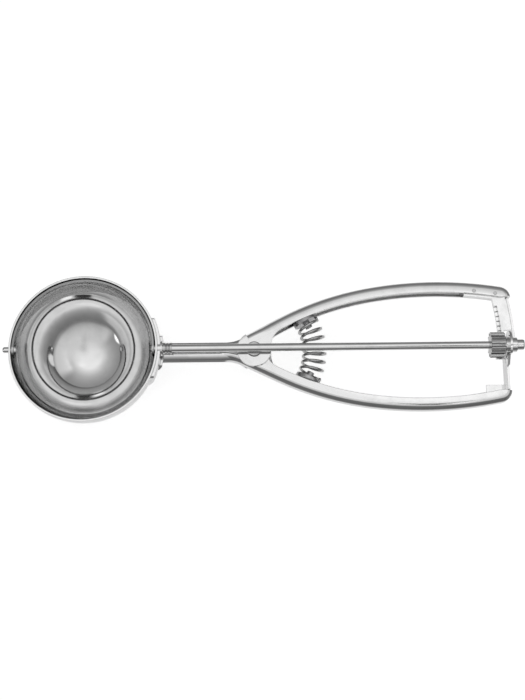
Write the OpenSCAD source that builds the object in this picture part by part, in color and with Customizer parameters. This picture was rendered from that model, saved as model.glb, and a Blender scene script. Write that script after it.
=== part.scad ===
// Lever ice cream scoop. A half-ball bowl sits on a folded shank, and two pressed
// handle arms are sprung apart about one rivet. Squeezing them drives a curved rack
// past a pinion, which turns the long rod and sweeps the wiper round the bowl.
// Origin: centre of the bowl's ball, on the rod's axis. +X runs to the handle's end
// and +Z out of the bowl's mouth. All sizes are in millimetres and degrees.

/* [Bowl] */
// Outside radius of the bowl
bowl_r = 30; // [26:0.5:36]
// Thickness of the bowl's wall
bowl_wall = 0.8; // [0.6:0.1:1.2]
// Height of the straight collar above the rod's axis
collar_h = 2.6; // [2.5:0.1:4]

/* [Wiper] */
// Width of the wiper band at the middle of the bowl
wiper_w = 10.6; // [9:0.2:13]
// Width of the wiper band at its two lugs
wiper_end_w = 6.6; // [6:0.2:8]
// Thickness of the wiper band
wiper_t = 0.9; // [0.6:0.1:1.2]
// Angle of the band's middle below the rim when the handle is open
wiper_tilt = 7; // [6:0.5:12]

/* [Rod] */
// Diameter of the long wiper rod
rod_d = 3.2; // [2.8:0.1:3.6]
// Diameter of the short pin on the far side of the bowl
pin_d = 2.4; // [2:0.1:3]
// How far that pin stands out of the bowl
pin_reach = 2.8; // [2:0.1:4]
// Diameter of the peened heads inside the wiper's lugs
peen_d = 4.2; // [3.8:0.1:5]
// Thickness of those peened heads
peen_t = 0.7; // [0.5:0.1:1]
// Diameter of the collar that keeps the rod from sliding forward
collar_d = 4.6; // [4.2:0.1:5.4]
// Length of that collar
collar_l = 3.6; // [3:0.1:5]
// Diameter of the cap on the rod's rear end
cap_d = 4.4; // [4:0.1:5]
// Length of that cap
cap_l = 2.9; // [2:0.1:4]

/* [Shank and saddle] */
// Thickness of the saddle welded to the bowl
saddle_t = 1.2; // [0.8:0.1:1.6]
// Width of the saddle
saddle_w = 25; // [20:0.5:28]
// Height of the saddle's top edge above the rod's axis
saddle_top = 1.9; // [1.4:0.1:2.2]
// Depth of the saddle's lower edge below the rod's axis
saddle_drop = 15; // [14:0.5:18]
// Width of the shank
shank_w = 7.4; // [6.8:0.2:8.4]
// Distance from the bowl's outside to the handle's rivet
shank_l = 39; // [34:1:60]
// Width of the seam along the shank's underside
seam_w = 1.6; // [1:0.1:2.4]
// Width of the foot that joins the shank to the saddle
foot_w = 13; // [11:0.5:16]

/* [Handle arms] */
// Thickness of the arms' sheet
sheet = 1.2; // [1:0.1:1.4]
// Height of the arms' channel
arm_h = 8.1; // [7.6:0.1:9.5]
// Depth of the channel's flanges
flange_w = 4.8; // [4.4:0.1:5.2]
// Outside radius of the channel's corners
corner_r = 2.3; // [1.8:0.1:2.8]
// Angle at which each arm leaves the rivet
arm_angle = 25.8; // [25:0.2:27]
// Length of each arm's straight part
straight_l = 14; // [14:0.5:18]
// Radius of the arm's forward bend
bow_r1 = 126; // [120:1:134]
// Radius of the arm's long rear bend
bow_r2 = 162; // [152:2:180]
// Angle turned by the forward bend
bow_turn1 = 18; // [17:0.2:19]
// How much longer the moving arm is than the fixed one
lever_extra = 1.8; // [1.4:0.1:2.2]
// Extra angle of the moving arm when the spring holds it open
open_extra = 2.3; // [1.8:0.1:2.8]

/* [Rivet] */
// Diameter of the handle's rivet
rivet_d = 4; // [3.4:0.1:4.6]
// Diameter of the rivet's heads
rivet_head_d = 6.4; // [5.8:0.1:7.4]
// Thickness of the flat head under the rod
rivet_head_t = 0.6; // [0.4:0.1:0.7]
// Distance from the rivet's axis to the outside of each arm
eye_r = 7; // [6.8:0.05:7.4]
// Radius of the corner where the two arms part
crotch_r = 8; // [5:0.5:8]
// Diameter of the washer behind the frame
washer_d = 8.6; // [8:0.2:10]
// Thickness of that washer
washer_t = 0.7; // [0.5:0.1:1]

/* [Pinion and rack] */
// Number of teeth on the pinion
pinion_teeth = 14; // [12:1:16]
// Module of the teeth: pitch diameter over tooth count
tooth_module = 0.65; // [0.6:0.01:0.68]
// Width of the pinion
pinion_w = 5.7; // [5:0.1:6.4]
// Distance from the handle's rivet to the inner ends of the rack's teeth
rack_reach = 100.2; // [98:0.1:102]
// Width over which the rack's and the pinion's teeth meet
rack_mesh = 1; // [0.8:0.1:1.2]
// Number of teeth on the rack
rack_teeth = 9; // [9:1:10]
// Thickness of the rack's plate
rack_t = 2.2; // [2:0.1:2.4]
// Width of the rack's toothed part
rack_narrow_w = 2.3; // [2.2:0.1:3]
// How far the rack's outer edge lies behind the centre of the moving arm's end corner
rack_past = 3.4; // [3:0.1:3.6]
// Thickness of the lip along the rack's outer edge
lip_t = 0.9; // [0.7:0.1:1.1]
// Height of that lip above the plate
lip_h = 0.5; // [0.3:0.1:0.7]
// Length of the rack's tang along the moving arm
tang_l = 15; // [13:0.5:18]

/* [Spring] */
// Diameter of the spring's wire
wire_d = 1.2; // [1:0.1:1.4]
// Outside diameter of the spring's curls
coil_d = 9.8; // [9.2:0.1:10.4]
// Number of curls
curls = 8; // [6:1:9]
// Distance from the rivet to the spring's middle line
spring_r = 24.7; // [24:0.1:26]
// Least thickness of the seats under the spring's ends
seat_t = 0.7; // [0.6:0.1:1]
// Diameter of the stud that enters each end of the spring
stud_d = 3; // [2.4:0.1:4]
// Length of that stud
stud_l = 2.4; // [1.6:0.1:3]

/* [Rear bracket] */
// Thickness of the bracket's sheet
bracket_t = 0.9; // [0.8:0.1:1.2]
// Radius of the bracket's ear round the rod
ear_r = 5.7; // [5.2:0.1:6.2]
// Distance from the rod's axis to the ear's cut side
ear_low = 4.2; // [4:0.1:4.6]
// Width of the neck that carries the ear
neck_w = 1.3; // [1.1:0.1:2]
// Half width of the guide under the rack
guide_half = 4.5; // [4:0.1:5]
// Outside diameter of the bearing bush
bush_d = 6; // [5.4:0.1:6.2]
// Length of the bearing bush
bush_l = 4.4; // [4:0.1:5]
// Length of the bracket's tab along the fixed arm
tab_l = 12; // [11:0.5:15]
// Diameter of the small rivets
small_rivet_d = 1.5; // [1.2:0.1:1.8]
// Diameter of their heads
small_head_d = 2.6; // [2.2:0.1:2.8]
// Thickness of their heads
small_head_t = 0.6; // [0.4:0.1:0.7]

/* [Fits] */
// Radial clearance of a turning fit
run_gap = 0.05; // [0.03:0.01:0.08]
// Clearance between pieces that pass each other
side_gap = 0.3; // [0.25:0.01:0.35]
// End play of the rod at its bearings
end_play = 0.2; // [0.1:0.05:0.3]
// Backlash between pinion and rack
backlash = 0.1; // [0.08:0.01:0.14]

/* [Hidden] */
$fn = 72;
hair = 0.01;
through = 60;

// Where one length of channel runs on into the next it is a hair slimmer all round and
// reaches this far into it, so that the two join as one solid.
lap = 0.1;

steel = "gainsboro";
bright = "whitesmoke";
dull = "silver";
spring_steel = "darkgray";

// Radii of the bowl's wall and of the wiper that runs along it.
bowl_in = bowl_r - bowl_wall;
wiper_out = bowl_in - side_gap;
wiper_in = wiper_out - wiper_t;
saddle_out = bowl_r + saddle_t;

// Half diameters used all along the rod.
rod_r = rod_d / 2;
pin_r = pin_d / 2;
bush_r = bush_d / 2;
front_bush_r = rod_r + 0.6;

// The pinion's and the rack's tooth sizes.
pressure = 20;
pitch_r = tooth_module * pinion_teeth / 2;
pinion_addendum = 0.95 * tooth_module;
rack_addendum = 0.8 * tooth_module;
root_gap = 0.15;
pinion_tip = pitch_r + pinion_addendum;
pinion_root = pitch_r - rack_addendum - root_gap;
base_r = pitch_r * cos(pressure);
rack_pitch_r = rack_reach + rack_mesh / 2;
rack_step = (180 * tooth_module) / rack_pitch_r;
full_squeeze = 7;

// Heights. The rack's top face lies against the underside of the lever's top flange.
rack_top = -(pitch_r - rack_addendum);
rack_floor = -(pinion_tip + root_gap);
rack_bottom = rack_top - rack_t;
lever_top = rack_top + sheet;
lever_mid = lever_top - arm_h / 2;
frame_top = lever_top - sheet - side_gap;
frame_mid = frame_top - arm_h / 2;
frame_bottom = frame_top - arm_h;
spring_mid = (lever_mid + frame_mid) / 2;

// The handle's rivet, and the arm's outline from it. Points are seen from the rivet,
// with the arm's outside towards +Y; a heading is an angle from +X.
pivot_x = bowl_r + shank_l;
inner_n = eye_r - flange_w;
inner_eye_r = eye_r - sheet - 3 * side_gap - run_gap;
head_1 = arm_angle - bow_turn1;
foot_pt = eye_r * left_of(arm_angle);
bend_1 = foot_pt + straight_l * along(arm_angle);
centre_1 = bend_1 - bow_r1 * left_of(arm_angle);
bend_2 = centre_1 + bow_r1 * left_of(head_1);
centre_2 = bend_2 - bow_r2 * left_of(head_1);

// The bracket's wall, just behind the rack's narrow part.
wall_x = pivot_x + rack_reach + rack_narrow_w + side_gap;

// The arms' end corners: each turns about a point at end_bend_r inside the rear bend. The
// fixed arm's corner closes round the wall.
end_turn = 75;
end_bend_r = flange_w + 0.05;
frame_corner = corner_at(wall_x + bracket_t + run_gap + sheet - end_bend_r - pivot_x);
lever_corner = corner_at(frame_corner[0] + lever_extra);

// The flare between the shank and the arm's straight part.
flare_r = 14;
flare_back = (eye_r * cos(arm_angle) - shank_w / 2) / sin(arm_angle);
flare_tangent = flare_r * tan(arm_angle / 2);
flare_corner = foot_pt - flare_back * along(arm_angle);
flare_start = flare_corner[0] - flare_tangent;
flare_straight = flare_back - flare_tangent;

// Places along the rod.
washer_x = pivot_x + rack_reach + rack_mesh;
pinion_x = washer_x - pinion_w;
thrust_t = 0.4;
bush_x = washer_x + thrust_t + end_play;
cap_x = bush_x + bush_l + end_play;
flange_t = 0.7;
front_bush_out = saddle_out + flange_t + run_gap;
collar_x = front_bush_out + end_play;

// The guide under the rack.
guide_x = pivot_x + rack_reach - side_gap - lip_t;
guide_top = rack_bottom - side_gap;
lip_top = -(pinion_tip + side_gap);
slot_top = rack_top + side_gap;

// The rack's angles and radii, seen from the rivet.
tooth_first = -1;
rack_tail = rack_step - tooth_first * rack_step;
rack_out = norm(lever_corner) + rack_past;
broad_start = 4;
lip_start = 1.9;
plate_end = open_extra + atan2(lever_corner[1], lever_corner[0]) - 0.7;
plate_trim = 2;
slot_y = (rack_pitch_r + 2) * sin(full_squeeze - broad_start) + 1;

// Pieces inside a channel keep this far from its back, clear of the rounded corner, and
// reach this far past its flanges' edges. The small rivets lie between.
clear_n = corner_r + 0.15;
reach_n = flange_w + 1;
rivet_n = (clear_n + flange_w) / 2;

// Places of the small rivets, measured back along the rear bend from the end corner.
rack_rivet_back = [2, 11];
bracket_rivet_back = [2, 8.5];

// The spring's seats lie on a line that touches the flanges' edges at its two ends, where
// the spring's middle line meets them.
seat_half = coil_d / 2 + 0.3;
edge_r = bow_r1 - flange_w;
seat_edge = spring_r * on_ray(ray_to(centre_1, edge_r, spring_r));
seat_head = heading_at(centre_1, seat_edge);
seat_mid = seat_edge - (pow(seat_half, 2) / (2 * edge_r) + 2 * hair) * left_of(seat_head);
seat_far = seat_mid + seat_half * along(seat_head);
seat_near = seat_mid - seat_half * along(seat_head);
seat_face = atan2(seat_far[1], seat_far[0]) - seat_t / norm(seat_far) * 180 / PI;
stud_sunk = 0.3;

// A unit vector along a heading, one square to its left, and one along a ray.
function along(a) = [cos(a), sin(a)];
function left_of(a) = [-sin(a), cos(a)];
function on_ray(a) = [cos(a), sin(a)];

// The ray from the rivet that meets a circle at a given distance, an arm's heading at a
// point of a bend, and the centre of an end corner whose place along X is given.
function ray_to(centre, r, far) = atan2(centre[1], centre[0])
    + acos((pow(far, 2) + pow(norm(centre), 2) - pow(r, 2)) / (2 * far * norm(centre)));
function heading_at(centre, pt) = atan2(pt[1] - centre[1], pt[0] - centre[0]) - 90;
function corner_at(x) =
    [x, centre_2[1] + sqrt(pow(bow_r2 - end_bend_r, 2) - pow(x - centre_2[0], 2))];
function end_head(corner) = heading_at(centre_2, corner);

// A point on a flange: how far back from the end corner and how far from the arm's outside.
function flange_pt(corner, back, n) =
    centre_2 + (bow_r2 - n) * left_of(end_head(corner) + back / bow_r2 * 180 / PI);

// ---- General shapes -------------------------------------------------------

module at_pivot() {
    translate([pivot_x, 0, 0]) children();
}

// Turns a shape drawn along +Z so that it runs along +X.
module along_x(x) {
    translate([x, 0, 0]) rotate([0, 90, 0]) children();
}

// Turns an outline drawn in Y and Z so that it is extruded along +X.
module sheet_x(x, thick) {
    translate([x, 0, 0]) rotate([90, 0, 90]) linear_extrude(thick) children();
}

// Half a ball with a straight collar, solid.
module ball_with_collar(r, collar) {
    difference() {
        sphere(r);
        translate([-2 * r, -2 * r, 0]) cube(4 * r);
    }
    cylinder(r = r, h = collar);
}

// A rectangle whose corners on the x = 0 side are rounded, centred on y = 0.
module rounded_back_2d(depth, height, r) {
    translate([-depth, -height / 2]) square([depth - r, height]);
    translate([-depth, r - height / 2]) square([depth, height - 2 * r]);
    for (side = [-1, 1]) translate([-r, side * (height / 2 - r)]) circle(r);
}

// The arms' cross-section, thinned all round by slim: its outside is at x = 0 and its
// flanges run to -depth.
module channel_2d(depth, slim) {
    difference() {
        translate([-slim, 0]) rounded_back_2d(depth - 2 * slim, arm_h - 2 * slim, corner_r - slim);
        translate([slim - sheet, 0])
            rounded_back_2d(depth, arm_h - 2 * sheet + 2 * slim, corner_r - sheet + slim);
    }
}

// A straight piece of channel along +X, whose outside is at +Y.
module channel_run(length, depth, slim) {
    rotate([90, 0, 90]) linear_extrude(length) channel_2d(depth, slim);
}

// A bent piece of channel from one heading to a smaller one about a centre, lapped into
// the piece before it.
module channel_bend(centre, r, from, to, slim) {
    lap_angle = lap / r * 180 / PI;
    translate(centre) rotate([0, 0, to + 90]) rotate_extrude(angle = from + lap_angle - to, $fn = 360)
        translate([r, 0]) channel_2d(flange_w, slim);
}

// The plate round the rivet: a disc blended into the flange's inner edge.
module eye_plate_2d(r) {
    c_n = inner_n + hair - crotch_r;
    c_s = sqrt(pow(r + crotch_r, 2) - pow(c_n, 2));
    on_disc = [c_s, c_n] * r / (r + crotch_r);
    rotate(arm_angle) difference() {
        union() {
            intersection() {
                circle(r);
                union() {
                    translate([-2 * r, -2 * r]) square([2 * r, 4 * r]);
                    translate([-r, -2 * r]) square([3 * r, 2 * r + inner_n + 0.5]);
                }
            }
            polygon([[0, 0], on_disc, [c_s, inner_n], [c_s, inner_n + 0.5], [0, inner_n + 0.5]]);
        }
        translate([c_s, c_n]) circle(crotch_r);
    }
}

// One pressed arm, centred in height on z = 0, with its two plates round the rivet. Its
// straight part starts at a distance from the rivet's foot point, and it ends in a corner.
module arm(top_r, bottom_r, start, corner) {
    rotate([0, 0, arm_angle]) translate([start, eye_r, 0])
        channel_run(straight_l - start, flange_w, hair);
    channel_bend(centre_1, bow_r1, arm_angle, head_1, 2 * hair);
    channel_bend(centre_2, bow_r2, head_1, end_head(corner), 3 * hair);
    channel_bend(corner, end_bend_r, end_head(corner), end_head(corner) - end_turn, 4 * hair);
    translate([0, 0, arm_h / 2 - sheet]) linear_extrude(sheet) eye_plate_2d(top_r);
    translate([0, 0, -arm_h / 2]) linear_extrude(sheet) eye_plate_2d(bottom_r);
}

// A piece of a flat ring between two rays from its centre.
module ring_2d(r_in, r_out, from, to) {
    intersection() {
        difference() {
            circle(r_out, $fn = 360);
            circle(r_in, $fn = 360);
        }
        polygon([[0, 0], 2 * r_out * on_ray(from), 2 * r_out * on_ray(to)]);
    }
}

// A strip that lies in an arm's channel along its rear bend, up to the end corner.
module strip_2d(corner, length) {
    ray = end_head(corner) + 90;
    translate(centre_2) ring_2d(bow_r2 - reach_n, bow_r2 - clear_n, ray, ray + length / bow_r2 * 180 / PI);
    translate(corner) circle(end_bend_r - clear_n);
}

// ---- Bowl end -------------------------------------------------------------

module bowl() {
    color(bright) difference() {
        ball_with_collar(bowl_r, collar_h);
        ball_with_collar(bowl_in, collar_h + 1);
        along_x(0) cylinder(r = front_bush_r, h = through);
        along_x(-through) cylinder(r = pin_r + run_gap, h = through);
    }
}

module saddle_outline_2d() {
    intersection() {
        translate([-saddle_w / 2, -saddle_drop]) square([saddle_w, saddle_drop + saddle_top]);
        translate([0, 1 - saddle_w / 3]) circle(saddle_w * 0.6);
    }
}

module saddle() {
    color(steel) difference() {
        intersection() {
            ball_with_collar(saddle_out, saddle_top);
            sheet_x(0, through) saddle_outline_2d();
        }
        ball_with_collar(bowl_r, collar_h + 1);
        along_x(0) cylinder(r = front_bush_r, h = through);
    }
}

// A flanged bearing bush in the bowl's wall, for the rod.
module front_bush() {
    color(dull) difference() {
        union() {
            along_x(bowl_in + run_gap) cylinder(r = front_bush_r, h = saddle_out - bowl_in);
            along_x(saddle_out + run_gap) cylinder(r = front_bush_r + 0.9, h = flange_t);
        }
        along_x(0) cylinder(r = rod_r + run_gap, h = through);
    }
}

// Outline of the wiper band seen along its middle: broad in the bowl, narrow at the lugs.
function band_half(x) = wiper_w / 2 - (wiper_w - wiper_end_w) / 2 * pow(x / wiper_out, 2);
band_steps = 12;
band_edge = [for (i = [-band_steps:band_steps]) i * (bowl_r + 1) / band_steps];

// The band's outline, long way along X, extruded from the rod's axis down into the bowl.
module wiper_band() {
    rotate([-wiper_tilt, 0, 0]) translate([0, bowl_r, 0]) rotate([90, 0, 0]) linear_extrude(bowl_r)
        polygon(concat(
            [for (x = band_edge) [x, band_half(x)]],
            [for (i = [2 * band_steps:-1:0]) [band_edge[i], -band_half(band_edge[i])]]
        ));
}

module wiper() {
    color(bright) difference() {
        intersection() {
            sphere(wiper_out);
            union() {
                wiper_band();
                along_x(-bowl_r) cylinder(d = wiper_end_w, h = 2 * bowl_r);
            }
        }
        sphere(wiper_in);
        along_x(0) cylinder(r = rod_r, h = through);
        along_x(-through) cylinder(r = pin_r, h = through);
    }
}

// The short pin that carries the wiper's other end, peened inside its lug.
module front_pin() {
    nose = 0.7;
    color(steel) along_x(-bowl_r - pin_reach) rotate_extrude() polygon([
        [0, 0],
        [pin_r - nose, 0],
        [pin_r - nose * 0.3, nose * 0.3],
        [pin_r, nose],
        [pin_r, bowl_r + pin_reach - wiper_in + pen(pin_r)],
        [peen_d / 2 - 0.2, bowl_r + pin_reach - wiper_in + pen(peen_d / 2)],
        [peen_d / 2 - 0.4, bowl_r + pin_reach - wiper_in + pen(peen_d / 2) + peen_t],
        [0, bowl_r + pin_reach - wiper_in + pen(peen_d / 2) + peen_t + 0.2]
    ]);
}

// How far the wiper's inner face has curved away from its pole at a given radius.
function pen(r) = wiper_in - sqrt(pow(wiper_in, 2) - pow(r, 2));

module rod() {
    seat = wiper_in - pen(peen_d / 2);
    color(steel) along_x(0) rotate_extrude() polygon([
        [0, seat - peen_t - 0.2],
        [peen_d / 2 - 0.4, seat - peen_t],
        [peen_d / 2, seat],
        [rod_r, seat],
        [rod_r, cap_x + cap_l - 1],
        [0, cap_x + cap_l - 1]
    ]);
}

// The grooved collar crimped on the rod in front of the bowl's bush.
module thrust_collar() {
    groove = 0.35;
    color(dull) difference() {
        along_x(collar_x) cylinder(d = collar_d, h = collar_l);
        along_x(0) cylinder(r = rod_r, h = through);
        for (part = [0.36, 0.68]) along_x(collar_x + collar_l * part) rotate_extrude()
            translate([collar_d / 2, 0]) circle(groove);
    }
}

// ---- Frame and lever ------------------------------------------------------

// The round corner at the start of the flare that widens the shank, outside at +Y.
module flare_bend() {
    turn = lap / flare_r * 180 / PI;
    translate([flare_start, shank_w / 2 + flare_r, 0]) rotate([0, 0, -90])
        rotate_extrude(angle = arm_angle + turn, $fn = 360) translate([flare_r, 0])
            mirror([1, 0]) channel_2d(flange_w, 2 * hair);
}

// The two flat faces between the flares, drawn to reach half under the flanges.
module flare_plate_2d() {
    narrow = shank_w / 2 - corner_r - 0.2;
    polygon([
        [flare_start + 0.5, -narrow], [0, -inner_eye_r + 1],
        [0, inner_eye_r - 1], [flare_start + 0.5, narrow]
    ]);
}

module rounded_box_2d(w, h, r) {
    square([w - 2 * r, h], center = true);
    square([w, h - 2 * r], center = true);
    for (x = [-1, 1], y = [-1, 1]) translate([x * (w / 2 - r), y * (h / 2 - r)]) circle(r);
}

module shank_2d(slim) {
    thin = sheet - slim;
    difference() {
        rounded_box_2d(shank_w - 2 * slim, arm_h - 2 * slim, corner_r - slim);
        rounded_box_2d(shank_w - 2 * thin, arm_h - 2 * thin, corner_r - thin);
    }
}

module frame() {
    color(steel) difference() {
        union() {
            at_pivot() translate([0, 0, frame_mid]) {
                mirror([0, 1, 0]) arm(inner_eye_r, eye_r, -flare_straight, frame_corner);
                rotate([0, 0, arm_angle]) translate([-flare_straight, eye_r, 0])
                    channel_run(flare_straight - 2 * side_gap - 0.2, flange_w, hair);
                flare_bend();
                mirror([0, 1, 0]) flare_bend();
                for (z = [arm_h / 2 - sheet, -arm_h / 2]) translate([0, 0, z])
                    linear_extrude(sheet) flare_plate_2d();
            }
            translate([bowl_r - 1, 0, frame_mid]) rotate([90, 0, 90])
                linear_extrude(pivot_x + flare_start - bowl_r + 1 + lap) shank_2d(3 * hair);
            shank_foot();
        }
        ball_with_collar(saddle_out, collar_h);
        translate([bowl_r, -seam_w / 2, frame_bottom - 1])
            cube([pivot_x + flare_start - bowl_r, seam_w, sheet + 2]);
        at_pivot() translate([0, 0, frame_bottom - 1]) cylinder(d = rivet_d, h = arm_h + 2);
        bracket_rivet_holes(small_rivet_d / 2);
    }
}

// The foot pressed out of the shank's end, which lies on the saddle.
module shank_foot() {
    intersection() {
        ball_with_collar(saddle_out + sheet, 0);
        sheet_x(0, through) intersection() {
            translate([-foot_w / 2, frame_bottom - 1]) square([foot_w, arm_h + 1]);
            translate([0, frame_mid]) circle(foot_w * 0.56);
        }
    }
}

module lever() {
    color(steel) difference() {
        at_pivot() rotate([0, 0, open_extra]) translate([0, 0, lever_mid])
            arm(eye_r, inner_eye_r, 0, lever_corner);
        at_pivot() translate([0, 0, lever_top - arm_h - 1])
            cylinder(r = rivet_d / 2 + run_gap, h = arm_h + 2);
        rack_rivet_holes(small_rivet_d / 2);
    }
}

module pivot_rivet() {
    shank_bottom = frame_bottom - washer_t;
    tail_t = 1.1;
    color(bright) at_pivot() rotate_extrude() polygon([
        [0, shank_bottom - tail_t],
        [rivet_head_d / 2 - 1.2, shank_bottom - tail_t],
        [rivet_head_d / 2 - 0.3, shank_bottom - tail_t * 0.5],
        [rivet_head_d / 2, shank_bottom],
        [rivet_d / 2, shank_bottom],
        [rivet_d / 2, lever_top + run_gap],
        [rivet_head_d / 2, lever_top + run_gap],
        [rivet_head_d / 2 - 0.4, lever_top + run_gap + rivet_head_t],
        [0, lever_top + run_gap + rivet_head_t]
    ]);
}

module pivot_washer() {
    color(dull) at_pivot() translate([0, 0, frame_bottom - washer_t]) difference() {
        cylinder(d = washer_d, h = washer_t);
        translate([0, 0, -1]) cylinder(d = rivet_d, h = washer_t + 2);
    }
}

// The tube on the rivet that keeps the two pressings from being crushed together.
module pivot_spacer() {
    low = lever_top - arm_h + sheet + end_play;
    high = frame_top - sheet;
    color(dull) at_pivot() translate([0, 0, low]) difference() {
        cylinder(r = rivet_d / 2 + 1.1, h = high - low);
        translate([0, 0, -1]) cylinder(d = rivet_d, h = high - low + 2);
    }
}

// ---- Spring ---------------------------------------------------------------

// A seat wedged between an arm's flange edges and the spring's end, with a stud.
module spring_seat() {
    face_pt = spring_r * on_ray(seat_face);
    at_pivot() {
        intersection() {
            translate([0, 0, spring_mid - coil_d]) linear_extrude(2 * coil_d) polygon([
                norm(seat_near) * on_ray(seat_face), norm(seat_far) * on_ray(seat_face),
                seat_far, seat_near
            ]);
            translate([face_pt[0], face_pt[1], spring_mid]) rotate([0, 0, seat_face])
                rotate([90, 0, 0]) cylinder(r = seat_half, h = 8, center = true);
        }
        translate([face_pt[0], face_pt[1], spring_mid]) rotate([0, 0, seat_face])
            translate([0, stud_sunk, 0]) rotate([90, 0, 0]) cylinder(d = stud_d, h = stud_l + stud_sunk);
    }
}

module spring_seat_lever() {
    color(dull) at_pivot() rotate([0, 0, open_extra]) translate([-pivot_x, 0, 0]) spring_seat();
}

module spring_seat_frame() {
    color(dull) mirror([0, 1, 0]) spring_seat();
}

// The spring's wire follows a helix bent about the handle's rivet. Its first and last
// stretch runs straight off the seat, one wire diameter long.
coil_mid_r = (coil_d - wire_d) / 2;
spring_from = -seat_face;
spring_to = seat_face + open_extra;
lead = wire_d / spring_r * 180 / PI;
rings_per_curl = 8;
sides = 6;
coil_steps = curls * rings_per_curl;
coil_sweep = spring_to - spring_from - 2 * lead;

// Ring i of the wire: its turn about the coil's middle line, and its angle about the rivet.
function clamp(v, low, high) = min(max(v, low), high);
function wire_turn(i) = 360 / rings_per_curl * clamp(i - 1, 0, coil_steps);
function wire_angle(i) =
    i <= 0 ? spring_from
    : i >= coil_steps + 2 ? spring_to
    : spring_from + lead + coil_sweep * (i - 1) / coil_steps;
function wire_out(i) = let (a = wire_angle(i), t = wire_turn(i))
    [cos(t) * cos(a), cos(t) * sin(a), sin(t)];
function wire_pt(i) = let (a = wire_angle(i))
    [spring_r * cos(a), spring_r * sin(a), spring_mid] + coil_mid_r * wire_out(i);
function unit(v) = v / norm(v);
function wire_dir(i) = unit(unit(wire_pt(min(i + 1, coil_steps + 2)) - wire_pt(i) + tiny_step(i))
    + unit(wire_pt(i) - wire_pt(max(i - 1, 0)) + tiny_step(i)));
function tiny_step(i) = 0.000001 * [-sin(wire_angle(i)), cos(wire_angle(i)), 0];
function wire_ring(i) = let (out = wire_out(i), side = cross(wire_dir(i), out))
    [for (k = [0:sides - 1]) wire_pt(i)
        + wire_d / 2 * (cos(360 * k / sides) * out + sin(360 * k / sides) * side)];

wire_rings = coil_steps + 3;
wire_points = [for (i = [0:wire_rings - 1]) each wire_ring(i)];
wire_faces = concat(
    [for (k = [1:sides - 2]) [0, k + 1, k]],
    [for (i = [0:wire_rings - 2], k = [0:sides - 1]) [i * sides + k,
        i * sides + (k + 1) % sides, (i + 1) * sides + k]],
    [for (i = [0:wire_rings - 2], k = [0:sides - 1]) [i * sides + (k + 1) % sides,
        (i + 1) * sides + (k + 1) % sides, (i + 1) * sides + k]],
    [for (k = [1:sides - 2]) [(wire_rings - 1) * sides, (wire_rings - 1) * sides + k,
        (wire_rings - 1) * sides + k + 1]]
);

// Least gap between two stretches of wire that are half a curl or more apart.
wire_gap = min([for (i = [0:wire_rings - 1], j = [i + rings_per_curl / 2:wire_rings - 1])
    if (j < wire_rings) norm(wire_pt(i) - wire_pt(j))]) - wire_d;
echo("least gap between the spring's curls", wire_gap);

module return_spring() {
    color(spring_steel) at_pivot() polyhedron(points = wire_points, faces = wire_faces, convexity = 10);
}

// ---- Pinion and rack ------------------------------------------------------

// Half the angle that a pinion tooth spans at a radius, by the involute.
function involute(r) = r <= base_r ? 0 : tan(acos(base_r / r)) * 180 / PI - acos(base_r / r);
half_at_pitch = 90 / pinion_teeth - backlash / 4 / pitch_r * 180 / PI;
function tooth_half(r) = half_at_pitch + involute(pitch_r) - involute(r);
flank = [pinion_root, base_r, (base_r + pitch_r) / 2, pitch_r, (pitch_r + pinion_tip) / 2, pinion_tip];

module pinion_2d() {
    polygon([for (t = [0:pinion_teeth - 1]) let (mid = 360 * t / pinion_teeth) each concat(
        [for (r = flank) r * on_ray(mid - tooth_half(r))],
        [for (i = [len(flank) - 1:-1:0]) flank[i] * on_ray(mid + tooth_half(flank[i]))]
    )]);
}

// The outline lies in X and Y before it is turned, so that a tooth points down to the rack.
module pinion() {
    color(steel) difference() {
        along_x(pinion_x) linear_extrude(pinion_w) pinion_2d();
        along_x(0) cylinder(r = rod_r, h = 2 * pivot_x + through);
    }
}

module thrust_washer() {
    color(bright) along_x(washer_x) difference() {
        cylinder(r = bush_r + 0.3, h = thrust_t);
        translate([0, 0, -1]) cylinder(r = rod_r, h = 2);
    }
}

module rear_bush() {
    color(bright) along_x(bush_x) difference() {
        cylinder(r = bush_r, h = bush_l);
        translate([0, 0, -1]) cylinder(r = rod_r + run_gap, h = bush_l + 2);
    }
}

module end_cap() {
    dome = 0.6;
    color(bright) along_x(cap_x) difference() {
        rotate_extrude() polygon([
            [0, 0], [cap_d / 2, 0], [cap_d / 2, cap_l - dome],
            [cap_d / 2 - dome * 0.3, cap_l - dome * 0.3],
            [cap_d / 2 - dome, cap_l], [0, cap_l]
        ]);
        translate([0, 0, -1]) cylinder(r = rod_r, h = cap_l);
    }
}

// The gap cut between two rack teeth, which the pinion's teeth enter.
module tooth_gap() {
    half = 45 * rack_step / 180 * PI * rack_pitch_r / 90 + backlash / 4;
    rise = rack_top - rack_floor;
    top_half = half + (rack_top + pitch_r) * tan(pressure);
    low_half = top_half - rise * tan(pressure);
    cut_l = 1 + rack_mesh + side_gap;
    translate([rack_reach - 1, 0, 0]) rotate([90, 0, 90]) linear_extrude(cut_l) polygon([
        [-low_half, rack_floor], [low_half, rack_floor],
        [top_half + tan(pressure), rack_top + 1], [-top_half - tan(pressure), rack_top + 1]
    ]);
}

// The rack's plate: a narrow toothed strip, a broad part, and a tang in the lever's channel.
module rack_2d() {
    difference() {
        union() {
            ring_2d(rack_reach, rack_out, -rack_tail, plate_end);
            ring_2d(rack_reach, rack_out - plate_trim, plate_end - 1, plate_end + 0.8);
            rotate(open_extra) strip_2d(lever_corner, tang_l);
        }
        ring_2d(rack_reach + rack_narrow_w, rack_out + 1, -rack_tail - 1, broad_start);
    }
}

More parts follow.
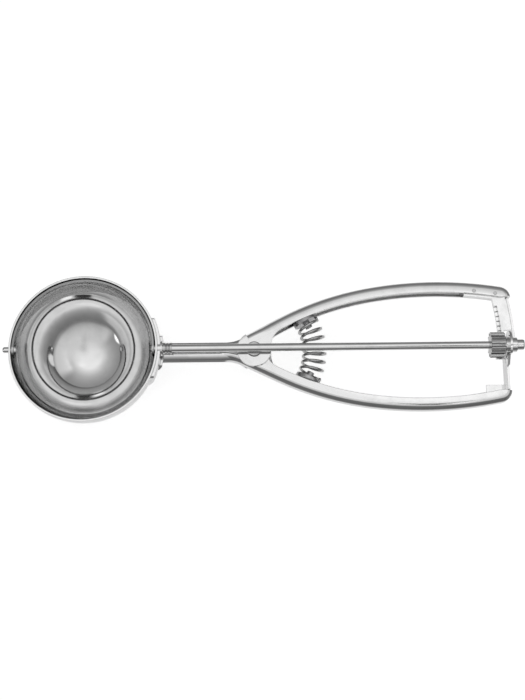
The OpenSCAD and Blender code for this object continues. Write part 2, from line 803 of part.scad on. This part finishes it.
module rack() {
    color(steel) difference() {
        at_pivot() {
            translate([0, 0, rack_bottom]) linear_extrude(rack_t) rack_2d();
            translate([0, 0, rack_bottom + hair]) linear_extrude(rack_t + lip_h - hair)
                ring_2d(rack_out + hair - lip_t, rack_out + hair, lip_start, plate_end - 0.05);
        }
        at_pivot() for (k = [tooth_first:tooth_first + rack_teeth]) rotate([0, 0, k * rack_step])
            tooth_gap();
        rack_rivet_holes(small_rivet_d / 2);
    }
}

// ---- Small rivets and the rear bracket -----------------------------------

module at_rack_rivets() {
    at_pivot() rotate([0, 0, open_extra]) for (back = rack_rivet_back)
        translate(flange_pt(lever_corner, back, rivet_n)) children();
}

module at_bracket_rivets() {
    at_pivot() mirror([0, 1, 0]) for (back = bracket_rivet_back)
        translate(flange_pt(frame_corner, back, rivet_n)) children();
}

module rack_rivet_holes(r) {
    at_rack_rivets() translate([0, 0, rack_bottom - 1]) cylinder(r = r, h = rack_t + sheet + 2);
}

module bracket_rivet_holes(r) {
    at_bracket_rivets() translate([0, 0, frame_bottom - 1]) cylinder(r = r, h = sheet + bracket_t + 2);
}

// A small rivet whose shank runs from one height to another, with a domed lower head.
module small_rivet(low, high) {
    r = small_rivet_d / 2;
    head = small_head_d / 2;
    rotate_extrude() polygon([
        [0, low - small_head_t], [head * 0.6, low - small_head_t],
        [head * 0.9, low - small_head_t * 0.5], [head, low], [r, low], [r, high], [0, high]
    ]);
}

// Under the lever the rivets' heads lie against the rack, and on top they are ground flush.
module rack_rivets() {
    color(bright) at_rack_rivets() small_rivet(rack_bottom, lever_top);
}

// These are ground flush inside the channel.
module bracket_rivets() {
    color(bright) at_bracket_rivets() small_rivet(frame_bottom, frame_bottom + sheet + bracket_t);
}

// The wall across the frame's end: an ear on a neck round the rod, above the slot that
// the rack passes through, and below it a lower part that carries the guide.
module wall_2d() {
    from = run_gap - frame_corner[1];
    neck = slot_y + neck_w;
    difference() {
        union() {
            intersection() {
                circle(ear_r);
                translate([-ear_low, -ear_r]) square(2 * ear_r);
            }
            polygon([
                [from, frame_bottom], [guide_half, frame_bottom], [guide_half, guide_top],
                [0, guide_top], [0, 0], [-ear_low, 0], [-neck, slot_top + neck_w],
                [-neck, frame_top], [from, frame_top]
            ]);
        }
        translate([-slot_y, guide_top]) square([through, slot_top - guide_top]);
        circle(bush_r);
    }
}

// Outline of the tab that lies on the frame's lower flange and turns up into the wall.
module tab_2d() {
    foot_y = frame_corner[1] - 3;
    strip_2d(frame_corner, tab_l);
    translate([frame_corner[0] - 5, foot_y])
        square([wall_x + bracket_t - pivot_x - frame_corner[0] + 5, frame_corner[1] - run_gap - foot_y]);
}

module rear_bracket() {
    tab_low = frame_bottom + sheet;
    color(steel) difference() {
        union() {
            sheet_x(wall_x, bracket_t) wall_2d();
            translate([guide_x, -guide_half, guide_top - bracket_t])
                cube([wall_x - guide_x + hair, 2 * guide_half, bracket_t]);
            translate([guide_x, -guide_half, guide_top - bracket_t])
                cube([lip_t, 2 * guide_half, lip_top - guide_top + bracket_t]);
            at_pivot() mirror([0, 1, 0]) translate([0, 0, tab_low]) linear_extrude(bracket_t) tab_2d();
        }
        bracket_rivet_holes(small_rivet_d / 2);
    }
}

bowl();
saddle();
frame();
lever();
pivot_rivet();
pivot_spacer();
pivot_washer();
spring_seat_frame();
spring_seat_lever();
return_spring();
rod();
wiper();
front_pin();
front_bush();
thrust_collar();
pinion();
thrust_washer();
rear_bush();
end_cap();
rack();
rack_rivets();
rear_bracket();
bracket_rivets();
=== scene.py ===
"""Looks of the lever ice cream scoop: polished steel under a soft roof light, on a white floor."""

import math

import bpy
import numpy as np
from mathutils import Matrix, Vector


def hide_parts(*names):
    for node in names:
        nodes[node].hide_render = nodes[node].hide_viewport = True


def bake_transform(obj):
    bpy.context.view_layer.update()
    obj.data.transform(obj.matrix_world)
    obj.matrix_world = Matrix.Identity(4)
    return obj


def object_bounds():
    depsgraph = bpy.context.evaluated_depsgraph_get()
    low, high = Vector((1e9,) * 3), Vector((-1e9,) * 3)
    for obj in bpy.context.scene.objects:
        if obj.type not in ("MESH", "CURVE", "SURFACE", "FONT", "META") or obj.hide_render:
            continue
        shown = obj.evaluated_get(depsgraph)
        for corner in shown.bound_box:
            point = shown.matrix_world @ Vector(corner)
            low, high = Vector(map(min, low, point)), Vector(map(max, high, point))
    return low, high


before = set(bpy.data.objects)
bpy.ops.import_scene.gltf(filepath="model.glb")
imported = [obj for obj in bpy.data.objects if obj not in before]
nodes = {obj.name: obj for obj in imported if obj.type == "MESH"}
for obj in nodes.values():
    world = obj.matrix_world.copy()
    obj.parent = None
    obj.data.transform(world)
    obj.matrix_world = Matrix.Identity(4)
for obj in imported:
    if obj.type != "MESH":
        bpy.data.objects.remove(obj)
cad_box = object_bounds()

MM = 0.001

# Camera: it looks down into the bowl, tipped a little towards the fixed arm.
CAMERA_ELEVATION = 77.0
CAMERA_DISTANCE = 480 * MM
CAMERA_AIM = Vector((72.4 * MM, -1.1 * MM, 0))
CAMERA_ROLL = 0.59
CAMERA_LENS = 61.0

# The roof light: brightness against the angle from straight up, in degrees.
ROOF = [
    (0, 1.34), (6, 1.32), (12, 1.22), (18, 1.02), (25, 0.76), (33, 0.52), (45, 0.35),
    (58, 0.28), (70, 0.24), (80, 0.20), (88, 0.16), (96, 0.14), (180, 0.12),
]

# What else the room holds. Angles are in degrees: away from the lens, and round it from
# straight below it. A band is its two ends and how soft they are, and an edge runs from its
# inner to its outer angle.
LENS_EDGE = (3.6, 5.4)
STAND_AWAY, STAND_ROUND = (1, 20, 3), (-9, 9, 1.5)
BODY_AWAY, BODY_ROUND = (38, 76, 8), (-50, 50, 16)
BODY_SHADE = 0.4
DARKEST = 0.06
LAMP_AWAY, LAMP_ROUND = (9, 20, 1.5), (12, 24, 1.5)
LAMP_LIGHT = 0.8
WINDOW_RAY, WINDOW_EDGE, WINDOW_LIGHT = (-0.797, -0.402, 0.451), (8, 12), 1.3
REAR_RAY, REAR_EDGE, REAR_LIGHT = (0.19, 0.165, 1), (4.5, 8), 0.14

# Wall panels beyond the handle and in front: a compass angle from +X, half the width, the
# band of tilts from straight up, and the light.
PANELS = [(0, 42, (32, 57, 4), 0.36), (-90, 48, (34, 57, 4), 0.3)]
PANEL_SOFT = 10

FLOOR_GAP = 0.4 * MM
FLOOR_SIZE = 3.0
FLOOR_WHITE = 0.94
FLOOR_GLOW = 0.6
MIRRORED_GLOW = 0.3

# Painted shade on the floor: its colour and mirrored glow are darkened beyond this distance from
# the scoop, down to this share.
FLOOR_NEAR = 60 * MM
FLOOR_FAR_PAINTED_SHADE = 0.25

# Sizes of the arms, seen from the handle's rivet, as in the CAD model.
PIVOT_X = 69 * MM
ARM_ANGLE = 25.8
STRAIGHT = 14 * MM
EYE_R = 7 * MM
BOW_R1 = 126 * MM
BOW_R2 = 162 * MM
BOW_TURN1 = 18
FLANGE = 4.8 * MM
OPEN_EXTRA = 2.3

# The roundness of the pressings: the crown on the flanges, which fades out at the rivet and
# is stronger on the lever's front, and the lean of the upright walls.
CROWN = 0.022
CROWN_LINE = 4.2 * MM
CROWN_FADE = (5 * MM, 11 * MM)
CROWN_FRONT = (20 * MM, 62 * MM)
LEVER_FRONT = 0.6
SHANK_LEAN = 0.7
SHANK_END = (55 * MM, 62 * MM)
ARM_LEAN = 0.75
ARM_WALL = (-10 * MM, -3 * MM)

# The spring: its middle line, seen from the rivet, its curls and its wire.
SPRING_R = 24.7 * MM
SPRING_Z = -7.63 * MM
SEAT_FACE = 26.655
COIL_R = 4.5 * MM
WIRE_R = 0.6 * MM
CURLS = 7
STEPS_PER_CURL = 40
WIRE_SIDES = 16

# The dull patch at the bowl's bottom.
PATCH_PLACE = (-4 * MM, 8.5 * MM, 0)
PATCH_EDGE = (7 * MM, 11 * MM)
PATCH_ROUGHNESS = 0.26


# ---- Node helpers ---------------------------------------------------------


class Wiring:
    """A node tree with short calls for adding nodes and joining them."""

    def __init__(self, tree):
        self.tree = tree

    def add(self, kind, **settings):
        node = self.tree.nodes.new(kind)
        for name, value in settings.items():
            setattr(node, name, value)
        return node

    def put(self, value, socket):
        """Sets a socket to a number or a list of numbers, or links another socket to it."""
        if isinstance(value, bpy.types.NodeSocket):
            self.tree.links.new(value, socket)
        elif value is not None:
            socket.default_value = value

    def math(self, operation, a, b=None, c=None, clamp=False):
        node = self.add("ShaderNodeMath", operation=operation, use_clamp=clamp)
        for value, socket in zip((a, b, c), node.inputs):
            self.put(value, socket)
        return node.outputs[0]

    def vector(self, operation, a, b=None, scale=None):
        node = self.add("ShaderNodeVectorMath", operation=operation)
        self.put(a, node.inputs[0])
        self.put(b, node.inputs[1])
        if scale is not None:
            self.put(scale, node.inputs["Scale"])
        number = operation in ("DOT_PRODUCT", "LENGTH", "DISTANCE")
        return node.outputs["Value" if number else "Vector"]

    def step(self, value, low, high, to_low=0.0, to_high=1.0):
        """Runs smoothly from to_low at low to to_high at high."""
        node = self.add("ShaderNodeMapRange", interpolation_type="SMOOTHSTEP")
        for name, number in zip(("Value", "From Min", "From Max", "To Min", "To Max"),
                                (value, low, high, to_low, to_high)):
            self.put(number, node.inputs[name])
        return node.outputs["Result"]

    def noise(self, vector, scale, detail=2.0, roughness=0.5):
        node = self.add("ShaderNodeTexNoise")
        self.put(vector, node.inputs["Vector"])
        self.put(scale, node.inputs["Scale"])
        node.inputs["Detail"].default_value = detail
        node.inputs["Roughness"].default_value = roughness
        return node.outputs["Fac"]

    def bump(self, height, distance, normal):
        node = self.add("ShaderNodeBump")
        node.inputs["Distance"].default_value = distance
        self.put(height, node.inputs["Height"])
        self.put(normal, node.inputs["Normal"])
        return node.outputs[0]

    def blend(self, share, a, b):
        """A number that runs from a to b as share goes from 0 to 1."""
        return self.math("MULTIPLY_ADD", share, self.math("SUBTRACT", b, a), a)


def along(angle):
    return np.array([math.cos(math.radians(angle)), math.sin(math.radians(angle))])


def left_of(angle):
    return np.array([-math.sin(math.radians(angle)), math.cos(math.radians(angle))])


# ---- Stage ----------------------------------------------------------------


def camera_axes():
    """The camera's right, up and back directions before its roll."""
    elevation = math.radians(CAMERA_ELEVATION)
    back = Vector((0, -math.cos(elevation), math.sin(elevation)))
    right = Vector((1, 0, 0))
    return right, back.cross(right), back


def make_camera():
    """The camera stands at an elevation above the rod's plane, on the fixed arm's side."""
    data = bpy.data.cameras.new("camera")
    data.lens = CAMERA_LENS
    data.sensor_width = 36
    data.clip_start = 0.01
    camera = bpy.data.objects.new("camera", data)
    bpy.context.scene.collection.objects.link(camera)
    right, up, back = camera_axes()
    turn = Matrix((right, up, back)).transposed().to_4x4()
    roll = Matrix.Rotation(math.radians(-CAMERA_ROLL), 4, "Z")
    camera.matrix_world = Matrix.Translation(CAMERA_AIM + CAMERA_DISTANCE * back) @ turn @ roll
    bpy.context.scene.camera = camera


def room_light(w, ray):
    """Brightness of the room in a ray's direction: a roof that is brightest straight up and
    fades to dark walls, with two soft wall panels, a panel over the handle and a low window
    on the bowl's side. Near the opening that the photographer works through are a round dark
    lens, a dark stand below it, a lamp beside that, and shade further down."""

    def between(angle, low, high, soft):
        rise = w.step(angle, math.radians(low - soft), math.radians(low + soft))
        fall = w.step(angle, math.radians(high - soft), math.radians(high + soft), 1.0, 0.0)
        return w.math("MULTIPLY", rise, fall)

    def within(angle, inner, outer):
        return w.step(angle, math.radians(inner), math.radians(outer), 1.0, 0.0)

    def towards(direction):
        return w.vector("DOT_PRODUCT", ray, tuple(direction))

    def angle_from(direction):
        return w.math("ARCCOSINE", towards(Vector(direction).normalized()))

    tilt = angle_from((0, 0, 1))
    roof = w.add("ShaderNodeValToRGB")
    ramp = roof.color_ramp
    ramp.interpolation = "B_SPLINE"
    for place, (angle, value) in zip((0, 1), (ROOF[0], ROOF[-1])):
        ramp.elements[place].position = angle / 180
        ramp.elements[place].color = (value, value, value, 1)
    for angle, value in ROOF[1:-1]:
        ramp.elements.new(angle / 180).color = (value, value, value, 1)
    w.put(w.math("DIVIDE", tilt, math.pi), roof.inputs[0])

    # Directions as the bowl sees them: away from the lens, and round it from below.
    _, up, back = camera_axes()
    lens = (CAMERA_AIM + CAMERA_DISTANCE * back).normalized()
    across = up.cross(lens).normalized()
    below = across.cross(lens).normalized()
    away = angle_from(lens)
    round_it = w.math("ARCTAN2", towards(across), towards(below))

    def zone(away_band, round_band):
        return w.math("MULTIPLY", between(away, *away_band), between(round_it, *round_band))

    shade = w.math("MULTIPLY", zone(BODY_AWAY, BODY_ROUND), BODY_SHADE)
    dark = w.math("MAXIMUM", within(away, *LENS_EDGE), zone(STAND_AWAY, STAND_ROUND))
    dark = w.math("MAXIMUM", dark, shade)
    level = w.math("MULTIPLY", roof.outputs["Color"], w.step(dark, 0, 1, 1.0, DARKEST))
    lights = [
        (zone(LAMP_AWAY, LAMP_ROUND), LAMP_LIGHT),
        (within(angle_from(WINDOW_RAY), *WINDOW_EDGE), WINDOW_LIGHT),
        (within(angle_from(REAR_RAY), *REAR_EDGE), REAR_LIGHT),
    ]
    for compass, spread, tilt_band, light in PANELS:
        ahead, beside = towards((*along(compass), 0)), towards((*left_of(compass), 0))
        turn = w.math("ARCTAN2", beside, ahead)
        wide = between(turn, -spread, spread, PANEL_SOFT)
        lights.append((w.math("MULTIPLY", wide, between(tilt, *tilt_band)), light))
    for place, light in lights:
        level = w.math("MULTIPLY_ADD", place, light, level)
    return level


def make_room():
    """The room lights the scoop and shows in its steel. The camera sees white instead."""
    world = bpy.data.worlds.new("room")
    world.use_nodes = True
    world.node_tree.nodes.clear()
    w = Wiring(world.node_tree)
    ray = w.vector("NORMALIZE", w.add("ShaderNodeTexCoord").outputs["Generated"])
    room = w.add("ShaderNodeBackground")
    w.put(room_light(w, ray), room.inputs["Color"])
    white = w.add("ShaderNodeBackground")
    white.inputs["Color"].default_value = (1, 1, 1, 1)
    mix = w.add("ShaderNodeMixShader")
    w.put(w.add("ShaderNodeLightPath").outputs["Is Camera Ray"], mix.inputs[0])
    w.put(room.outputs[0], mix.inputs[1])
    w.put(white.outputs[0], mix.inputs[2])
    w.put(mix.outputs[0], w.add("ShaderNodeOutputWorld").inputs["Surface"])
    bpy.context.scene.world = world


def make_floor():
    """A white floor just under the bowl. It glows a little to whatever sees it as a picture,
    which makes it the white background, and its matt part keeps the scoop's shadow. Its colour
    is painted white round the scoop and darker further off, a painted shade for where the roof
    light ends, and it hides nothing from a camera below it."""
    low = cad_box[0][2] - FLOOR_GAP
    mesh = bpy.data.meshes.new("floor")
    mesh.from_pydata(
        [(x * FLOOR_SIZE, y * FLOOR_SIZE, low) for x, y in ((-1, -1), (1, -1), (1, 1), (-1, 1))],
        [],
        [(0, 1, 2, 3)],
    )
    floor = bpy.data.objects.new("floor", mesh)
    bpy.context.scene.collection.objects.link(floor)
    material = bpy.data.materials.new("floor_white")
    material.use_nodes = True
    w = Wiring(material.node_tree)
    material.node_tree.nodes.clear()
    place = w.add("ShaderNodeTexCoord").outputs["Object"]
    middle = ((cad_box[0][0] + cad_box[1][0]) / 2, (cad_box[0][1] + cad_box[1][1]) / 2, 0)
    half = [(cad_box[1][i] - cad_box[0][i]) / 2 for i in (0, 1)]
    offset = w.vector("ABSOLUTE", w.vector("SUBTRACT", place, middle))
    past = w.vector("MAXIMUM", w.vector("SUBTRACT", offset, (half[0], half[1], 1.0)), (0, 0, 0))
    far = w.vector("LENGTH", past)
    # Painted shade: 1 round the scoop, falling further off; it darkens the floor's colour and its
    # mirrored glow.
    floor_painted_light = w.step(far, 0.0, FLOOR_NEAR, 1.0, FLOOR_FAR_PAINTED_SHADE)

    matt = w.add("ShaderNodeBsdfDiffuse")
    floor_colour_with_painted_shade = w.math("MULTIPLY", floor_painted_light, FLOOR_WHITE)
    w.put(floor_colour_with_painted_shade, matt.inputs["Color"])
    glow = w.add("ShaderNodeEmission")
    path = w.add("ShaderNodeLightPath").outputs
    seen = w.math("MAXIMUM", path["Is Glossy Ray"], path["Is Transmission Ray"])
    mirrored = w.math("MULTIPLY", seen, w.math("MULTIPLY", floor_painted_light, MIRRORED_GLOW))
    fill = w.math("SUBTRACT", 1.0, w.math("MULTIPLY", floor_painted_light, 1.0 - FLOOR_GLOW))
    w.put(w.math("MULTIPLY_ADD", path["Is Camera Ray"], fill, mirrored), glow.inputs["Strength"])
    both = w.add("ShaderNodeAddShader")
    w.put(matt.outputs[0], both.inputs[0])
    w.put(glow.outputs[0], both.inputs[1])
    clear = w.add("ShaderNodeMixShader")
    under = w.add("ShaderNodeNewGeometry").outputs["Backfacing"]
    w.put(w.math("MULTIPLY", under, path["Is Camera Ray"]), clear.inputs[0])
    w.put(both.outputs[0], clear.inputs[1])
    w.put(w.add("ShaderNodeBsdfTransparent").outputs[0], clear.inputs[2])
    w.put(clear.outputs[0], w.add("ShaderNodeOutputMaterial").inputs["Surface"])
    mesh.materials.append(material)


# ---- Effects that several finishes share ----------------------------------


def new_group(name, inputs, outputs):
    """An empty shader group with number inputs and outputs, and its wiring and two ends."""
    group = bpy.data.node_groups.new(name, "ShaderNodeTree")
    for label, kind, value in inputs:
        socket = group.interface.new_socket(label, in_out="INPUT", socket_type=kind)
        if value is not None:
            socket.default_value = value
    for label in outputs:
        group.interface.new_socket(label, in_out="OUTPUT", socket_type="NodeSocketFloat")
    w = Wiring(group)
    return group, w, w.add("NodeGroupInput").outputs, w.add("NodeGroupOutput").inputs


def handling_group():
    """Haze left by wiping and by fingers: soft patches, and fine hairline scratches that run
    two ways. Haze and Scratch are masks from 0 to 1."""
    group, w, given, made = new_group(
        "handling_marks",
        [("Vector", "NodeSocketVector", None)],
        ["Haze", "Scratch"],
    )
    soft = w.noise(given["Vector"], 160.0, detail=3.0, roughness=0.55)
    w.put(w.step(soft, 0.42, 0.72), made["Haze"])
    lines = []
    for stretch in ((9.0, 1.0, 5.0), (1.2, 8.0, 5.0)):
        thin = w.vector("MULTIPLY", given["Vector"], stretch)
        lines.append(w.step(w.noise(thin, 900.0, detail=1.0), 0.66, 0.74))
    w.put(w.math("MAXIMUM", *lines), made["Scratch"])
    return group


def swell_group():
    """The faint unevenness of pressed sheet: slow swells with a fine grain on them."""
    group, w, given, made = new_group(
        "pressing_swell",
        [("Vector", "NodeSocketVector", None), ("Swell", "NodeSocketFloat", 1.0)],
        ["Height"],
    )
    slow = w.noise(given["Vector"], 110.0, detail=1.0)
    fine = w.noise(given["Vector"], 2600.0, detail=1.0)
    w.put(w.math("MULTIPLY_ADD", slow, given["Swell"], w.math("MULTIPLY", fine, 0.02)),
          made["Height"])
    return group


HANDLING = handling_group()
SWELL = swell_group()


def place_group(w, group, vector, **values):
    node = w.add("ShaderNodeGroup", node_tree=group)
    w.put(vector, node.inputs["Vector"])
    for name, value in values.items():
        node.inputs[name.replace("_", " ")].default_value = value
    return node.outputs


def metal(name, colour, low, high, swell=1.0, edge=0.2, lean=None, crown=None, rough=None):
    """A steel finish. Its colour dims a little and its roughness runs from low to high with
    the handling marks, and rough may change it further. Its edges look rounded to a radius
    in millimetres. Lean and crown shape the normal of the pressings, and the sheet's swell
    lies over all."""
    material = bpy.data.materials.new(name)
    material.use_nodes = True
    w = Wiring(material.node_tree)
    shader = material.node_tree.nodes["Principled BSDF"]
    shader.inputs["Metallic"].default_value = 1
    place = w.add("ShaderNodeTexCoord").outputs["Object"]
    marks = place_group(w, HANDLING, place)
    worn = w.math("MAXIMUM", marks["Haze"], w.math("MULTIPLY", marks["Scratch"], 0.8))
    roughness = w.blend(worn, low, high)
    if rough is not None:
        roughness = rough(w, place, roughness)
    w.put(roughness, shader.inputs["Roughness"])
    dim = w.add("ShaderNodeMix", data_type="RGBA")
    w.put(worn, dim.inputs["Factor"])
    dim.inputs["A"].default_value = (*colour, 1)
    dim.inputs["B"].default_value = (*(0.93 * c for c in colour), 1)
    w.put(dim.outputs["Result"], shader.inputs["Base Color"])
    rounded = w.add("ShaderNodeBevel", samples=4)
    rounded.inputs["Radius"].default_value = edge * MM
    normal = rounded.outputs[0]
    if lean is not None:
        normal = lean(w, place, normal)
    if crown is not None:
        normal = w.bump(crown(w, place), MM, normal)
    height = place_group(w, SWELL, place, Swell=swell)["Height"]
    w.put(w.bump(height, 0.006 * MM, normal), shader.inputs["Normal"])
    return material


def wear(names, material):
    """Gives CAD pieces their finish."""
    for name in names:
        data = nodes[name].data
        data.materials.clear()
        data.materials.append(material)


# ---- The spring ------------------------------------------------------------


def spring_line():
    """Middle line of the spring's wire: a helix bent about the handle's rivet. At turn t and
    at angle a about the rivet it lies at the bend's radius along a, plus the coil's radius
    along the turning direction, which is the cosine of t along a less its sine upwards. At
    each end the wire runs on for its own thickness without turning. Gives the points and the
    turning direction at each."""
    turns = np.linspace(0, CURLS, CURLS * STEPS_PER_CURL + 1)
    lead = np.degrees(2 * WIRE_R / SPRING_R)
    low, high = -SEAT_FACE, SEAT_FACE + OPEN_EXTRA
    angle = low + lead + (high - low - 2 * lead) * turns / CURLS
    angle = np.radians(np.concatenate([[low, low + lead / 2], angle, [high - lead / 2, high]]))
    turn = 2 * np.pi * np.concatenate([[0, 0], turns, [CURLS, CURLS]])
    ray = np.stack([np.cos(angle), np.sin(angle), 0 * angle], axis=1)
    rise = np.array([0.0, 0.0, 1.0])
    out = np.cos(turn)[:, None] * ray - np.sin(turn)[:, None] * rise
    return SPRING_R * ray + COIL_R * out + np.array([PIVOT_X, 0, SPRING_Z]), out


def make_spring(finish):
    """The return spring's wire, finer than the CAD model's: a round section carried along
    the spring's line. Around it, a point lies at the wire's radius along the cosine of its
    angle times the turning direction, squared to the line, plus its sine times the side."""
    middle, out = spring_line()
    ahead = np.gradient(middle, axis=0)
    ahead /= np.linalg.norm(ahead, axis=1)[:, None]
    out -= (out * ahead).sum(1)[:, None] * ahead
    out /= np.linalg.norm(out, axis=1)[:, None]
    side = np.cross(ahead, out)
    angle = np.linspace(0, 2 * np.pi, WIRE_SIDES, endpoint=False)[None, :, None]
    ring = np.cos(angle) * out[:, None] + np.sin(angle) * side[:, None]
    points = middle[:, None] + WIRE_R * ring
    spots = np.arange(len(middle) * WIRE_SIDES).reshape(-1, WIRE_SIDES)
    after = np.roll(spots, -1, axis=1)
    quads = np.stack([spots[:-1], after[:-1], after[1:], spots[1:]], axis=-1).reshape(-1, 4)
    faces = quads.tolist() + [spots[0, ::-1].tolist(), spots[-1].tolist()]
    mesh = bpy.data.meshes.new("spring_wire")
    mesh.from_pydata(points.reshape(-1, 3).tolist(), [], faces)
    smooth = np.ones(len(faces), dtype=bool)
    smooth[-2:] = False
    mesh.polygons.foreach_set("use_smooth", smooth)
    mesh.materials.append(finish)
    spring = bpy.data.objects.new("spring_coil", mesh)
    bpy.context.scene.collection.objects.link(spring)

    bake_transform(spring)
    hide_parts("return_spring")


# ---- Finishes -------------------------------------------------------------


def dull_bottom(w, place, roughness):
    """A patch at the bowl's bottom is rubbed duller, about 18 mm across."""
    off = w.vector("DISTANCE", w.vector("MULTIPLY", place, (1, 1, 0)), PATCH_PLACE)
    return w.blend(w.step(off, *PATCH_EDGE, 1.0, 0.0), roughness, PATCH_ROUGHNESS)


def round_walls(w, place, normal):
    """The shank's upright walls lean over, as on a tube, and the arm's lean less and less
    from their top down. It adds an upward share to the normal of what stands upright."""
    spot = w.add("ShaderNodeSeparateXYZ")
    w.put(place, spot.inputs[0])
    facing = w.add("ShaderNodeSeparateXYZ")
    w.put(normal, facing.inputs[0])
    upright = w.step(w.math("ABSOLUTE", facing.outputs["Y"]), 0.5, 0.95)
    on_shank = w.step(spot.outputs["X"], *SHANK_END, 1.0, 0.0)
    on_arm = w.math("MULTIPLY", w.step(spot.outputs["Z"], *ARM_WALL), ARM_LEAN)
    lean = w.math("MULTIPLY", upright, w.blend(on_shank, on_arm, SHANK_LEAN))
    up = w.vector("SCALE", (0, 0, 1), scale=lean)
    return w.vector("NORMALIZE", w.vector("ADD", normal, up))


def arm_crown(side, turn=0.0, front=0.0):
    """Height, in millimetres, of the slight crown across an arm's flanges: minus a constant
    times the square of how far a point lies from the crown's line. That line runs at a set
    distance inside the arm's outer edge: a straight, then two arcs, seen from the rivet in
    the arm's own directions. The crown is stronger by the share front near the rivet."""
    ahead, left = along(ARM_ANGLE), left_of(ARM_ANGLE)
    ahead_2, left_2 = along(ARM_ANGLE - BOW_TURN1), left_of(ARM_ANGLE - BOW_TURN1)
    bend_1 = EYE_R * left + STRAIGHT * ahead
    centre_1 = bend_1 - BOW_R1 * left
    bend_2 = centre_1 + BOW_R1 * left_2
    centre_2 = bend_2 - BOW_R2 * left_2

    def height(w, place):
        from_rivet = w.vector("SUBTRACT", place, (PIVOT_X, 0, 0))
        turned = w.add("ShaderNodeVectorRotate", rotation_type="Z_AXIS")
        w.put(w.vector("MULTIPLY", from_rivet, (1, side, 0)), turned.inputs["Vector"])
        turned.inputs["Angle"].default_value = -math.radians(turn)
        seen = turned.outputs[0]

        def reach(direction):
            return w.vector("DOT_PRODUCT", seen, (*direction, 0))

        def inside_arc(radius, centre):
            return w.math("SUBTRACT", radius, w.vector("DISTANCE", seen, (*centre, 0)))

        past_1 = w.math("GREATER_THAN", reach(ahead), float(bend_1 @ ahead))
        past_2 = w.math("GREATER_THAN", reach(ahead_2), float(bend_2 @ ahead_2))
        inside = w.math("SUBTRACT", EYE_R, reach(left))
        inside = w.blend(past_1, inside, inside_arc(BOW_R1, centre_1))
        inside = w.blend(past_2, inside, inside_arc(BOW_R2, centre_2))
        inside = w.math("MINIMUM", w.math("MAXIMUM", inside, 0.0), FLANGE)
        off = w.math("DIVIDE", w.math("SUBTRACT", inside, CROWN_LINE), MM)
        drop = w.math("MULTIPLY", w.math("MULTIPLY", off, off), -CROWN)
        far = w.vector("LENGTH", seen)
        drop = w.math("MULTIPLY", drop, w.step(far, *CROWN_FRONT, 1.0 + front, 1.0))
        return w.math("MULTIPLY", drop, w.step(far, *CROWN_FADE))

    return height


def finish_all():
    """Each CAD piece gets the finish that the photograph shows."""

    def grey(value):
        return (value, value, value)

    bright = grey(0.80)
    frame_shape = dict(edge=0.4, lean=round_walls, crown=arm_crown(-1))
    lever_shape = dict(crown=arm_crown(1, OPEN_EXTRA, LEVER_FRONT))
    bowl = metal("bowl_steel", bright, 0.035, 0.07, 0.5, edge=0.35, rough=dull_bottom)
    turned = metal("turned_steel", bright, 0.10, 0.18, swell=0.4)
    cut = metal("cut_steel", grey(0.56), 0.16, 0.3, 0.6, edge=0.1)
    rivets = ["pivot_rivet", "pivot_washer", "pivot_spacer", "rack_rivets", "bracket_rivets"]
    wire = metal("spring_wire", grey(0.5), 0.1, 0.2, swell=0.4)

    wear(["bowl"], bowl)
    wear(["wiper"], metal("wiper_steel", grey(0.5), 0.05, 0.11, edge=0.35))
    wear(["saddle"], metal("saddle_steel", bright, 0.05, 0.11, edge=0.35))
    wear(["frame"], metal("frame_steel", bright, 0.07, 0.14, **frame_shape))
    wear(["lever"], metal("lever_steel", bright, 0.07, 0.14, **lever_shape))
    wear(["rod", "front_pin"], metal("drawn_rod", grey(0.78), 0.08, 0.16, swell=0.4))
    wear(["rear_bush", "thrust_washer", "end_cap", "front_bush"], turned)
    wear(["pinion", "thrust_collar"], cut)
    wear(["rack"], metal("rack_steel", grey(0.86), 0.12, 0.22, 0.6, edge=0.12))
    wear(rivets, metal("rivet_steel", grey(0.55), 0.2, 0.3, swell=0.6))
    wear(["rear_bracket"], metal("bracket_steel", bright, 0.08, 0.16))
    wear(["spring_seat_frame", "spring_seat_lever"],
         metal("seat_steel", (0.45, 0.45, 0.455), 0.26, 0.42, swell=0.6))
    wear(["return_spring"], wire)
    make_spring(wire)


bpy.context.scene.view_settings.view_transform = "Standard"
make_camera()
make_room()
make_floor()
finish_all()
